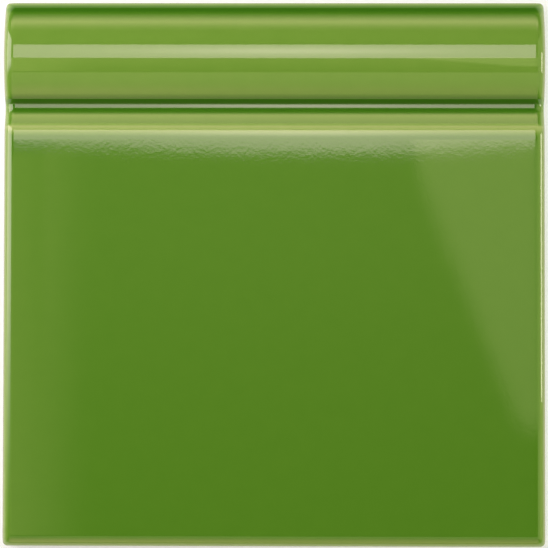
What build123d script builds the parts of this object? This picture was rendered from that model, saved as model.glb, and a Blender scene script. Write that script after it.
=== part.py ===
# Glazed ceramic skirting tile, pressed and fired as one piece, lying on its back.
# +Z points out of the glazed face and +Y from the foot edge to the moulded top edge.
# The origin is the middle of the back. All sizes are in millimetres, angles in degrees.
import os
from math import acos, cos, degrees, radians, sin

from build123d import *

# Overall sizes
tile_width = 152.0
tile_height = 153.0
face_thickness = 9.5

# Roll along the top: one arc over the crown that falls until it meets the quirk wall
crown_setback = 15.6
crown_rise = 2.6
roll_radius = 21.0
top_edge_radius = 2.0

# Quirk groove under the roll: a steep wall, a tight heel and a wide cove
groove_depth = 3.0
wall_height = 1.87
wall_angle = 58.0
heel_radius = 0.3
cove_radius = 6.3

# Slope from the cove up to the rim, and the shoulder that eases the rim into the flat face
slope_angle = 29.0
rim_radius = 6.6
shoulder_angle = 6.0
shoulder_radius = 20.0

# Outer edges of the glazed face
foot_edge_radius = 3.2
side_edge_radius = 3.0
corner_radius = 1.6

# The press is this much larger all round than the trimmed tile, which leaves a soft arris at its walls
trim_allowance = 0.1

# Key recesses in the back, for the bedding adhesive
key_count = 7
key_width = 9.0
key_depth = 0.8
key_margin = 12.0

# Level of the crown above the back, and the sides of the press from the middle of the tile
crown_level = face_thickness + crown_rise
press_x = tile_width / 2 + trim_allowance
press_y = tile_height / 2 + trim_allowance


def arc_rise(radius, gentle_angle, steep_angle):
    """How far an arc rises between two slopes."""
    return radius * (cos(radians(gentle_angle)) - cos(radians(steep_angle)))


def top_turn():
    """How far the round of the top edge turns before it meets the roll."""
    crown_reach = crown_setback + trim_allowance - top_edge_radius
    return degrees(acos(crown_reach / (roll_radius - top_edge_radius)))


def quirk_slope():
    """How steeply the roll falls where it meets the quirk wall."""
    roll_drop = crown_rise + groove_depth - wall_height
    return degrees(acos(1 - roll_drop / roll_radius))


def top_edge_level():
    """The level at which the round of the top edge begins."""
    roll_centre_level = crown_level - roll_radius
    return roll_centre_level + (roll_radius - top_edge_radius) * sin(radians(top_turn()))


def wall_length():
    """The straight of the quirk wall, from the roll down to the heel."""
    return (wall_height - arc_rise(heel_radius, 0, wall_angle)) / sin(radians(wall_angle))


def slope_length():
    """The straight of the slope, between the cove and the rim."""
    cove_rise = arc_rise(cove_radius, 0, slope_angle)
    rim_rise = arc_rise(rim_radius, shoulder_angle, slope_angle)
    shoulder_rise = arc_rise(shoulder_radius, 0, shoulder_angle)
    return (groove_depth - cove_rise - rim_rise - shoulder_rise) / sin(radians(slope_angle))


def tile_section():
    """The pressed section in the YZ plane, carried below the back so that its ends can be lowered."""
    base_level = -2 * side_edge_radius
    with BuildSketch(Plane.YZ) as section:
        with BuildLine():
            top_edge = JernArc((press_y, top_edge_level()), (0, 1), top_edge_radius, top_turn())
            roll = JernArc(top_edge @ 1, top_edge % 1, roll_radius, 90 - top_turn() + quirk_slope())
            wall = PolarLine(roll @ 1, wall_length(), 180 + wall_angle)
            heel = JernArc(wall @ 1, wall % 1, heel_radius, -wall_angle)
            cove = JernArc(heel @ 1, heel % 1, cove_radius, -slope_angle)
            slope = PolarLine(cove @ 1, slope_length(), 180 - slope_angle)
            rim = JernArc(slope @ 1, slope % 1, rim_radius, slope_angle - shoulder_angle)
            shoulder = JernArc(rim @ 1, rim % 1, shoulder_radius, shoulder_angle)
            face = Line(shoulder @ 1, (foot_edge_radius - press_y, face_thickness))
            foot_edge = JernArc(face @ 1, face % 1, foot_edge_radius, 90)
            Polyline(foot_edge @ 1, (-press_y, base_level), (press_y, base_level), top_edge @ 0)
        make_face()
    return section.sketch.faces()[0]


def tile_body():
    """The section carried across the press, dipping round each side edge, then trimmed to the outline."""
    inner_x = press_x - side_edge_radius
    with BuildLine(Plane.XZ) as path:
        CenterArc((-inner_x, -side_edge_radius), side_edge_radius, 180, -90)
        Line((-inner_x, 0), (inner_x, 0))
        CenterArc((inner_x, -side_edge_radius), side_edge_radius, 90, -90)
    start = Location((-press_x, 0, -side_edge_radius))
    swept = sweep(start * tile_section(), path=path.line, normal=(1, 0, 0))
    outline = extrude(RectangleRounded(tile_width, tile_height, corner_radius), 2 * crown_level)
    return swept & outline


def key_recesses():
    """Round-ended recesses across the back, evenly spaced, inside a plain border."""
    key_length = tile_width - 2 * key_margin
    key_span = tile_height - 2 * key_margin - key_width
    key_pitch = key_span / (key_count - 1)
    with BuildSketch() as keys:
        with GridLocations(0, key_pitch, 1, key_count):
            SlotOverall(key_length, key_width)
    return extrude(keys.sketch, key_depth)


def skirting_tile():
    """The whole tile, with the recesses cut into its back."""
    return tile_body() - key_recesses()


os.makedirs("parts", exist_ok=True)
export_step(skirting_tile(), "parts/skirting_tile.step")
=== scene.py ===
import math

import bpy
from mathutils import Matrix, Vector


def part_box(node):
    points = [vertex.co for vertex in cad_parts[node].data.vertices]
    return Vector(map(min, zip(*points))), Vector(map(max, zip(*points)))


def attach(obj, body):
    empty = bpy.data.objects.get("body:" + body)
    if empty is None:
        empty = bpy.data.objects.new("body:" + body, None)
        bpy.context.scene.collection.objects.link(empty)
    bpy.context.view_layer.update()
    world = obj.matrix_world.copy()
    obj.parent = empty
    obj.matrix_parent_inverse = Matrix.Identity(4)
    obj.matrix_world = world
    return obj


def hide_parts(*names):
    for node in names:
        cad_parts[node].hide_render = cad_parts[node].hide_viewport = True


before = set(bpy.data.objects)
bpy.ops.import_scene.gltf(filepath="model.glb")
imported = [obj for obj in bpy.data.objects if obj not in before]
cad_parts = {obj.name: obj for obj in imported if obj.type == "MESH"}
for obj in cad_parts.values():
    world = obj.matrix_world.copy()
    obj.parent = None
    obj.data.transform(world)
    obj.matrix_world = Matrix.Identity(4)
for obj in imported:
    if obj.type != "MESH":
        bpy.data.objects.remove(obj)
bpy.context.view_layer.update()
mm = 0.001

# section of the tile, as pressed; angles are in degrees
tile = {
    "node": "skirting_tile",
    "faceLevel": 9.5 * mm,
    "crownSetback": 15.6 * mm,
    "rollRadius": 21.0 * mm,
    "topEdgeRadius": 2.0 * mm,
    "grooveDepth": 3.0 * mm,
    "wallHeight": 1.87 * mm,
    "wallAngle": 58.0,
    "heelRadius": 0.3 * mm,
    "coveRadius": 6.3 * mm,
    "slopeAngle": 29.0,
    "rimRadius": 6.6 * mm,
    "shoulderAngle": 6.0,
    "shoulderRadius": 20.0 * mm,
    "footEdgeRadius": 3.2 * mm,
    "sideEdgeRadius": 3.0 * mm,
    "cornerRadius": 1.6 * mm,
    "cornerCuts": 6,
    "cutReach": 1e-7,             # points this near a corner cut count as on it
    "keyCount": 7,
    "keyWidth": 9.0 * mm,
    "keyDepth": 0.8 * mm,
    "keyMargin": 12.0 * mm,
    "keyDrumSides": 48,
    "longestStep": 6.0 * mm,      # mesh spacing along straight runs
    "edgeRow": 0.25 * mm,         # narrow row beside a round, so flats stay flat
    "shortRun": 1.0 * mm,         # straight runs under this have no narrow rows
    "arcStep": 3.0,
    "fewestSteps": 3,             # in any round
    "smoothAngle": 20.0,
}


def selectOnly(obj):
    bpy.ops.object.select_all(action="DESELECT")
    obj.select_set(True)
    bpy.context.view_layer.objects.active = obj


def straightPoints(start, heading, length):
    # evenly spaced, with a narrow row at each end of a long run
    along = Vector((math.cos(math.radians(heading)), math.sin(math.radians(heading))))
    if length < tile["shortRun"]:
        return [start + along * length]
    inner = length - 2 * tile["edgeRow"]
    count = math.ceil(inner / tile["longestStep"])
    stops = [tile["edgeRow"] + inner * i / count for i in range(count + 1)]
    return [start + along * stop for stop in stops + [length]]


def arcPoints(start, heading, radius, turn):
    # a round that leaves start along heading; turn is positive to the left
    side = math.copysign(90, turn)
    toCentre = math.radians(heading + side)
    centre = start + radius * Vector((math.cos(toCentre), math.sin(toCentre)))
    count = max(tile["fewestSteps"], math.ceil(abs(turn) / tile["arcStep"]))
    angles = [math.radians(heading - side + turn * i / count) for i in range(1, count + 1)]
    return [centre + radius * Vector((math.cos(a), math.sin(a))) for a in angles]


def arcRise(radius, gentle, steep):
    return radius * (math.cos(math.radians(gentle)) - math.cos(math.radians(steep)))


def sectionRuns():
    # straight runs and rounds from the foot edge to the top edge,
    # as (name, length, 0) or (name, radius, turn)
    low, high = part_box(tile["node"])
    slope, wall, shoulder = tile["slopeAngle"], tile["wallAngle"], tile["shoulderAngle"]
    crownRise = high[2] - tile["faceLevel"]
    rollDrop = crownRise + tile["grooveDepth"] - tile["wallHeight"]
    quirkSlope = math.degrees(math.acos(1 - rollDrop / tile["rollRadius"]))
    crownReach = tile["crownSetback"] - tile["topEdgeRadius"]
    topTurn = math.degrees(math.acos(crownReach / (tile["rollRadius"] - tile["topEdgeRadius"])))
    wallRise = tile["wallHeight"] - arcRise(tile["heelRadius"], 0, wall)
    rimRise = arcRise(tile["rimRadius"], shoulder, slope)
    rimRise += arcRise(tile["shoulderRadius"], 0, shoulder)
    slopeRise = tile["grooveDepth"] - arcRise(tile["coveRadius"], 0, slope) - rimRise
    runs = [
        ("footEdge", tile["footEdgeRadius"], -90),
        ("face", 0, 0),
        ("shoulder", tile["shoulderRadius"], -shoulder),
        ("rim", tile["rimRadius"], shoulder - slope),
        ("slope", slopeRise / math.sin(math.radians(slope)), 0),
        ("cove", tile["coveRadius"], slope),
        ("heel", tile["heelRadius"], wall),
        ("wall", wallRise / math.sin(math.radians(wall)), 0),
        ("quirk", 0, quirkSlope - wall),
        ("roll", tile["rollRadius"], topTurn - 90 - quirkSlope),
        ("topEdge", tile["topEdgeRadius"], -topTurn),
    ]
    # what the rest leaves of the height is the flat face
    taken = tracePoints(Vector((0, 0)), runs)[0][-1].x
    runs[1] = ("face", high[1] - low[1] - taken, 0)
    return runs


def tracePoints(start, runs):
    # points along the runs as (y, z), and where each run starts
    points, places, heading = [start], {}, 90
    for name, size, turn in runs:
        places[name] = points[-1].x
        if size and turn:
            points += arcPoints(points[-1], heading, size, turn)
        elif size:
            points += straightPoints(points[-1], heading, size)
        heading += turn
    places["top"] = points[-1].x
    return points, places


def sectionTrace():
    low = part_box(tile["node"])[0]
    start = Vector((low[1], tile["faceLevel"] - tile["footEdgeRadius"]))
    return tracePoints(start, sectionRuns())


def widthPoints():
    # round the left edge, across and round the right edge, as (x, drop)
    low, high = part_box(tile["node"])
    radius = tile["sideEdgeRadius"]
    points = [Vector((low[0], -radius))]
    points += arcPoints(points[-1], 90, radius, -90)
    points += straightPoints(points[-1], 0, high[0] - low[0] - 2 * radius)
    return points + arcPoints(points[-1], 0, radius, -90)


def traceSection():
    # a plane merged to one point, pulled along the section and then across the width
    bpy.ops.object.select_all(action="DESELECT")
    bpy.ops.mesh.primitive_plane_add(size=mm, location=(0, 0, 0), enter_editmode=True)
    piece = bpy.context.object
    bpy.ops.mesh.merge(type="CENTER")
    section = sectionTrace()[0]
    across = widthPoints()
    bpy.ops.transform.translate(value=(across[0].x, section[0].x, section[0].y + across[0].y))
    for i in range(1, len(section)):
        step = section[i] - section[i - 1]
        bpy.ops.mesh.extrude_vertices_move(TRANSFORM_OT_translate={"value": (0, step.x, step.y)})
    bpy.ops.mesh.select_all(action="SELECT")
    for i in range(1, len(across)):
        step = across[i] - across[i - 1]
        bpy.ops.mesh.extrude_edges_move(TRANSFORM_OT_translate={"value": (step.x, 0, step.y)})
    print("glazed skin:", len(section), "points along the section,", len(across), "across")
    return piece


def closeBody():
    # walls down to the back, then the back itself
    bpy.ops.mesh.select_mode(type="EDGE")
    bpy.ops.mesh.select_all(action="DESELECT")
    bpy.ops.mesh.select_non_manifold()
    bpy.ops.mesh.extrude_edges_move(TRANSFORM_OT_translate={"value": (0, 0, 0)})
    bpy.ops.transform.resize(value=(1, 1, 0), center_override=(0, 0, 0))
    bpy.ops.mesh.edge_face_add()


def roundCorners():
    # upright corners are cut to a round by a fan of planes
    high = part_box(tile["node"])[1]
    radius = tile["cornerRadius"]
    for sideX in (-1, 1):
        for sideY in (-1, 1):
            centre = Vector((sideX * (high[0] - radius), sideY * (high[1] - radius), 0))
            for i in range(tile["cornerCuts"]):
                turn = math.pi / 2 * (i + 0.5) / tile["cornerCuts"]
                outward = Vector((sideX * math.cos(turn), sideY * math.sin(turn), 0))
                bpy.ops.mesh.select_all(action="SELECT")
                bpy.ops.mesh.bisect(
                    plane_co=centre + outward * radius, plane_no=outward,
                    threshold=tile["cutReach"], use_fill=True, clear_outer=True
                )
    bpy.ops.mesh.select_all(action="SELECT")
    bpy.ops.mesh.normals_make_consistent(inside=False)


def keyCutter():
    # one round-ended bar, drawn out from half a drum and mirrored, then copied up the back
    low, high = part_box(tile["node"])
    radius = tile["keyWidth"] / 2
    reach = high[0] - tile["keyMargin"] - radius
    first = low[1] + tile["keyMargin"] + radius
    pitch = -2 * first / (tile["keyCount"] - 1)
    bpy.ops.object.select_all(action="DESELECT")
    bpy.ops.mesh.primitive_cylinder_add(
        vertices=tile["keyDrumSides"], radius=radius, depth=2 * tile["keyDepth"],
        location=(reach, first, 0), enter_editmode=True
    )
    bpy.ops.mesh.select_all(action="SELECT")
    bpy.ops.mesh.bisect(
        plane_co=(reach, first, 0), plane_no=(1, 0, 0), use_fill=True, clear_inner=True
    )
    bpy.ops.mesh.extrude_region_move(TRANSFORM_OT_translate={"value": (-reach, 0, 0)})
    bpy.ops.mesh.delete(type="FACE")
    bpy.ops.object.mode_set(mode="OBJECT")
    bpy.ops.object.transform_apply(location=True, rotation=True, scale=True)
    bars = [bpy.context.object]
    mirror = bars[0].modifiers.new("mirror", "MIRROR")
    bpy.ops.object.modifier_apply(modifier=mirror.name)
    for i in range(1, tile["keyCount"]):
        bpy.ops.object.duplicate_move(TRANSFORM_OT_translate={"value": (0, pitch, 0)})
        bars.append(bpy.context.object)
    for bar in bars:
        bar.select_set(True)
    bpy.ops.object.join()
    return bpy.context.object


def makeTile():
    piece = traceSection()
    closeBody()
    roundCorners()
    bpy.ops.object.mode_set(mode="OBJECT")
    cutter = keyCutter()
    selectOnly(piece)
    modifier = piece.modifiers.new("keys", "BOOLEAN")
    modifier.operation = "DIFFERENCE"
    modifier.solver = "EXACT"
    modifier.object = cutter
    bpy.ops.object.modifier_apply(modifier=modifier.name)
    bpy.data.objects.remove(cutter)
    bpy.ops.object.shade_smooth_by_angle(angle=math.radians(tile["smoothAngle"]))
    piece.name = "glazed_tile"
    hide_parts(tile["node"])
    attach(piece, "root")
    print("tile:", len(piece.data.polygons), "faces")
    return piece


class Wire:
    # a socket that can stand in a sum
    def __init__(self, tree, socket=None):
        self.tree = tree
        self.socket = socket

    def add(self, kind, settings, sockets, out=0):
        node = self.tree.nodes.new(kind)
        for key, value in settings.items():
            if key == "stops":
                ramp = node.color_ramp
                while len(ramp.elements) < len(value):
                    ramp.elements.new(1)
                for element, (position, level) in zip(ramp.elements, value):
                    element.position = position
                    element.color = (level, level, level, 1)
            else:
                setattr(node, key, value)
        for key, value in sockets.items():
            if isinstance(value, Wire):
                self.tree.links.new(value.socket, node.inputs[key])
            else:
                node.inputs[key].default_value = value
        return node if out is None else Wire(self.tree, node.outputs[out])

    def maths(self, operation, *values):
        return self.add("ShaderNodeMath", {"operation": operation}, dict(enumerate(values)))

    def __add__(self, other):
        return self.maths("ADD", self, other)

    def __radd__(self, other):
        return self.maths("ADD", other, self)

    def __sub__(self, other):
        return self.maths("SUBTRACT", self, other)

    def __rsub__(self, other):
        return self.maths("SUBTRACT", other, self)

    def __mul__(self, other):
        return self.maths("MULTIPLY", self, other)

    def __rmul__(self, other):
        return self.maths("MULTIPLY", other, self)

    def __truediv__(self, other):
        return self.maths("DIVIDE", self, other)

    def __rtruediv__(self, other):
        return self.maths("DIVIDE", other, self)

    def __abs__(self):
        return self.maths("ABSOLUTE", self)

    def split(self):
        node = self.add("ShaderNodeSeparateXYZ", {}, {0: self}, None)
        return [Wire(self.tree, socket) for socket in node.outputs]

    def fade(self, start, end, low=0, high=1):
        # soft step from low to high as this goes from start to end
        settings = {"interpolation_type": "SMOOTHSTEP"}
        sockets = {"Value": self, "From Min": start, "From Max": end, "To Min": low, "To Max": high}
        return self.add("ShaderNodeMapRange", settings, sockets)

    def blend(self, first, second):
        # from the first colour to the second as this goes from 0 to 1
        return self.add("ShaderNodeMix", {"data_type": "RGBA"}, {0: self, 6: first, 7: second}, 2)

    def feed(self, socket):
        self.tree.links.new(self.socket, socket)


# lights, floor and camera
studio = {
    "world": 0.05,
    "floorColour": (0.46, 0.51, 0.54, 1),
    "floorRoughness": 0.9,
    # the floor's glow is painted light, so no shade shows on the floor beside the tile
    "floorGlow": 0.42,
    "glowColour": (0.85, 0.95, 1, 1),
    "glowSpread": (0.20, 0.08),   # painted pool of light: the floor glows round the tile and fades away from it, sooner past its top edge
    "floorSize": 3.0,
    "cameraPlace": (10.13 * mm, -29.67 * mm, 829.0 * mm),
    "cameraTurn": (2.055, 0.703, 0.10),   # degrees
    "lens": 192.5,
}

# a box looks straight down, or at its aim; places and sizes are in metres
# glow is a hot spot: its share of the light, its place (x, y) and its spread (x, y)
# an edge fades the box past a line: a point on it, the way to the light in degrees,
# and the width of the fade
softboxes = {
    "top_box": {"place": (0, 0.179, 0.55), "size": (0.36, 0.222), "radiance": 7.4,
                "tint": (1, 0.79, 0.75), "glow": (0.42, 0, 0.004, 0.07, 0.058),
                "edges": [((0.038, -0.1044), 88, 0.009), ((0.038, -0.1044), 94.2, 0.011)]},
    "spill_box": {"place": (0, -0.02, 0.62), "size": (0.24, 0.22), "radiance": 0.44,
                  "tint": (1, 0.9, 0.4), "glow": (1, 0, 0.11, 0.5, 0.13)},
    "veil_box": {"place": (0.26, 0.014, 0.60), "size": (0.40, 0.152), "radiance": 1.15,
                 "tint": (1, 0.97, 0.45),
                 "edges": [((-0.1746, -0.0024), 21.7, 0.014), ((0, -0.068), 90, 0.016)]},
    "margin_box": {"place": (-0.26, -0.03, 0.60), "size": (0.36, 0.22), "radiance": 1.1,
                   "tint": (1, 0.97, 0.35), "edges": [((0.1445, 0), 180, 0.049)]},
    "far_box": {"place": (0, 0.80, 0.40), "aim": (0, 0.05, 0), "size": (1.2, 0.44),
                "radiance": 3.2, "tint": (1, 0.77, 0.47), "glow": (0.95, 0, -0.015, 3, 0.135)},
    "left_box": {"place": (-0.55, 0.16, 0.30), "aim": (0, 0.16, 0), "size": (0.52, 0.55),
                 "radiance": 6.0, "tint": (1, 0.80, 0.80), "edges": [((0.19, 0), 180, 0.16)]},
    "right_box": {"place": (0.70, 0.06, 0.11), "aim": (0, 0.06, 0), "size": (0.20, 0.20),
                  "radiance": 8.0, "tint": (1, 0.85, 0.75)},
    "side_box": {"place": (0.62, -0.02, 0.36), "aim": (0, -0.02, 0), "size": (0.9, 0.60),
                 "radiance": 1.1, "tint": (1, 0.97, 0.5)},
    "foot_box": {"place": (0, -0.638, 0.535), "aim": (0, -0.045, -0.053), "size": (1.2, 1.03),
                 "radiance": 1.0, "tint": (1, 1, 0.5), "edges": [((0, 0.155), 90, 0.31)]},
    "low_box": {"place": (0, -0.652, 0.521), "aim": (0, -0.059, -0.067), "size": (1.2, 1.03),
                "radiance": 2.0, "tint": (1, 0.62, 0.45), "glow": (0.3, -0.2, 0, 0.15, 2),
                "edges": [((0, 0.155), 270, 0.31)]},
}


def addSoftbox(name, box):
    light = bpy.data.lights.new(name, "AREA")
    light.shape = "RECTANGLE"
    light.size, light.size_y = box["size"]
    light.energy = box["radiance"] * math.pi * light.size * light.size_y
    light.color = box["tint"]
    light.use_nodes = True
    tree = light.node_tree
    wire = Wire(tree)
    # metres from the middle of the box
    u, v = wire.add("ShaderNodeNewGeometry", {}, {}, "Parametric").split()[:2]
    x, y = (u - 0.5) * light.size, (v - 0.5) * light.size_y
    # a share of 0 leaves the box even
    share, spotX, spotY, spreadX, spreadY = box.get("glow", (0, 0, 0, 1, 1))
    across, along = (x - spotX) / spreadX, (y - spotY) / spreadY
    strength = wire.maths("EXPONENT", 0 - across * across - along * along) * share + (1 - share)
    for (edgeX, edgeY), way, fade in box.get("edges", []):
        wayX, wayY = math.cos(math.radians(way)), math.sin(math.radians(way))
        inside = (x - edgeX) * wayX + (y - edgeY) * wayY
        strength = strength * inside.fade(-fade / 2, fade / 2)
    strength.feed(tree.nodes["Emission"].inputs["Strength"])
    lamp = bpy.data.objects.new(name, light)
    lamp.location = box["place"]
    if "aim" in box:
        heading = Vector(box["aim"]) - lamp.location
        lamp.rotation_euler = heading.to_track_quat("-Z", "Y").to_euler()
    lamp.visible_camera = False
    bpy.context.collection.objects.link(lamp)


def makeFloor():
    bpy.ops.object.select_all(action="DESELECT")
    bpy.ops.mesh.primitive_plane_add(size=studio["floorSize"], location=(0, 0, 0))
    floor = bpy.context.object
    floor.name = "floor"
    paper = bpy.data.materials.new("pale_floor")
    paper.use_nodes = True
    shader = paper.node_tree.nodes["Principled BSDF"]
    shader.inputs["Base Color"].default_value = studio["floorColour"]
    shader.inputs["Roughness"].default_value = studio["floorRoughness"]
    # painted light: the floor glows, brightest in a pool round the tile and fading away from it, so
    # no shade shows beside the tile
    shader.inputs["Emission Strength"].default_value = studio["floorGlow"]
    low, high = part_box(tile["node"])
    wire = Wire(paper.node_tree)
    x, y = wire.add("ShaderNodeTexCoord", {}, {}, "Object").split()[:2]
    wide, near = studio["glowSpread"]
    across = wire.maths("MAXIMUM", abs(x) - high[0], 0) / wide
    below = wire.maths("MAXIMUM", low[1] - y, 0) / wide
    above = wire.maths("MAXIMUM", y - high[1], 0) / near
    paintedLightPool = wire.maths("EXPONENT", 0 - across * across - below * below - above * above)
    glow = paintedLightPool.blend((0, 0, 0, 1), studio["glowColour"])
    glow.feed(shader.inputs["Emission Color"])
    floor.data.materials.append(paper)


def makeStudio():
    for name, box in softboxes.items():
        addSoftbox(name, box)
    world = bpy.data.worlds.new("studio")
    world.use_nodes = True
    background = world.node_tree.nodes["Background"]
    background.inputs["Strength"].default_value = studio["world"]
    background.inputs["Color"].default_value = (1, 1, 1, 1)
    bpy.context.scene.world = world
    makeFloor()
    camera = bpy.data.objects.new("camera", bpy.data.cameras.new("camera"))
    camera.data.lens = studio["lens"]
    camera.location = studio["cameraPlace"]
    camera.rotation_euler = [math.radians(turn) for turn in studio["cameraTurn"]]
    bpy.context.collection.objects.link(camera)
    bpy.context.scene.camera = camera
    bpy.context.scene.view_settings.view_transform = "Standard"
    print("studio:", len(softboxes), "softboxes")


# glaze thickness is against the middle of the face; it is partly the glaze's own pooling and
# thinning and partly painted shade, in the groove under the roll and in a dip just above the rim
# stops are (place along the section, offset up from it, thickness)
glaze = {
    "body": (0.705, 0.645, 0.66),
    "soak": (2.45, 1.24, 4.0),      # how strongly the glaze takes up red, green and blue
    "stops": [
        ("top", 0, 0.35),
        ("top", -0.5 * mm, 0.5),
        ("top", -1.1 * mm, 0.88),
        ("top", -1.9 * mm, 1.25),
        ("top", -2.5 * mm, 1.28),
        ("top", -3.4 * mm, 1.02),
        ("top", -6.0 * mm, 0.71),
        ("wall", 3.6 * mm, 0.735),
        ("wall", 2.5 * mm, 0.79),
        # thicker here and down into the groove: partly the glaze pooling, partly painted shade for
        # the dark groove and the foot of the roll
        ("wall", 1.4 * mm, 1.22),
        ("wall", 0.6 * mm, 1.35),
        ("wall", -0.3 * mm, 1.32),
        ("cove", 2.0 * mm, 1.1),
        ("cove", 1.5 * mm, 1.25),
        ("cove", 0.4 * mm, 0.95),
        ("cove", -0.2 * mm, 0.72),
        # thicker just above the rim: painted shade for a dark dip there
        ("slope", 0.1 * mm, 0.95),
        ("slope", -0.4 * mm, 0.62),
        ("rim", 1.5 * mm, 0.34),
        ("rim", 0.3 * mm, 0.47),
        ("shoulder", 0.8 * mm, 0.9),
        ("shoulder", -1.0 * mm, 1.0),
    ],
    "thickest": 2.0,                     # top of the scale of the stops
    "stopsBelow": 2 * mm,                # how far past the shoulder the stops may run
    "edge": 0.42,                        # thickness at the side and foot edges
    "shadedBody": (0.32, 0.31, 0.22, 1),        # the body showing along the round of the side edges, darkened as painted shade
    "shadedBodyReach": 0.9 * mm,
    "shadedBodyLevels": (5.5 * mm, 7.5 * mm),
    "shadedBodyShare": 0.6,
    "sideReach": 3.0 * mm,
    "footReach": 3.0 * mm,
    "mottle": (5 * mm, 3, 0.05),         # noise: size, detail, strength
    "waves": (12 * mm, 2, 9e-6),
    "ripple": (0.82 * mm, 2, 3.5e-6),
    "grain": (0.4 * mm, 3, 25e-6),
    "roughness": 0.03,
    "ior": 1.55,
    "glazeLine": 3.0 * mm,
    "lineWander": (7 * mm, 2, 2 * mm),
    "lineFade": 0.4 * mm,
    "biscuit": (0.80, 0.74, 0.62, 1),
    "biscuitRoughness": 0.85,
}


def greenGlaze():
    material = bpy.data.materials.new("green_glaze")
    material.use_nodes = True
    tree = material.node_tree
    shader = tree.nodes["Principled BSDF"]
    low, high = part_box(tile["node"])
    wire = Wire(tree)
    coords = wire.add("ShaderNodeTexCoord", {}, {}, "Object")
    x, y, z = coords.split()

    def noise(name):
        # about 0 on average
        size, detail, strength = glaze[name]
        sockets = {"Vector": coords, "Scale": 1 / size, "Detail": detail}
        return (wire.add("ShaderNodeTexNoise", {}, sockets) - 0.5) * strength

    # thickness along the section, thinner towards the side and foot edges; the stops hold painted
    # shade in the groove and above the rim as well as the glaze's own pooling
    places = sectionTrace()[1]
    span = places["top"] - places["shoulder"] + glaze["stopsBelow"]
    stops = [((places["top"] - places[name] - offset) / span, level / glaze["thickest"])
             for name, offset, level in glaze["stops"]]
    down = (places["top"] - y) / span
    section = wire.add("ShaderNodeValToRGB", {"stops": stops}, {"Fac": down}) * glaze["thickest"]
    side = high[0] - abs(x)
    gap = wire.maths("MINIMUM", side / glaze["sideReach"], (y - low[1]) / glaze["footReach"])
    edge = gap.fade(0, 1, glaze["edge"], 1)
    thickness = wire.maths("MINIMUM", edge, section) * wire.maths("MAXIMUM", section, 1)
    thickness = thickness + noise("mottle")
    channels = [wire.maths("EXPONENT", thickness * -soak) * body
                for soak, body in zip(glaze["soak"], glaze["body"])]
    colour = wire.add("ShaderNodeCombineColor", {}, dict(enumerate(channels)))
    # the body showing along the rounds of the side edges, darkened as painted shade, and the bare
    # body below the glaze line
    shadedBody = side.fade(glaze["shadedBodyReach"], 0, 0, glaze["shadedBodyShare"]) * z.fade(*glaze["shadedBodyLevels"])
    line = glaze["glazeLine"]
    bare = (z + noise("lineWander")).fade(line, line - glaze["lineFade"])
    bare.blend(shadedBody.blend(colour, glaze["shadedBody"]), glaze["biscuit"]).feed(shader.inputs["Base Color"])
    roughness = bare * (glaze["biscuitRoughness"] - glaze["roughness"]) + glaze["roughness"]
    roughness.feed(shader.inputs["Roughness"])
    shader.inputs["IOR"].default_value = glaze["ior"]
    # the glaze flows in slow waves, the bare body is gritty; heights are in metres
    relief = (1 - bare) * (noise("waves") + noise("ripple")) + bare * noise("grain")
    bump = wire.add("ShaderNodeBump", {}, {"Strength": 1.0, "Distance": 1.0, "Height": relief})
    bump.feed(shader.inputs["Normal"])
    print("glaze:", len(stops), "steps of thickness along the section")
    return material


piece = makeTile()
piece.data.materials.clear()
piece.data.materials.append(greenGlaze())
makeStudio()
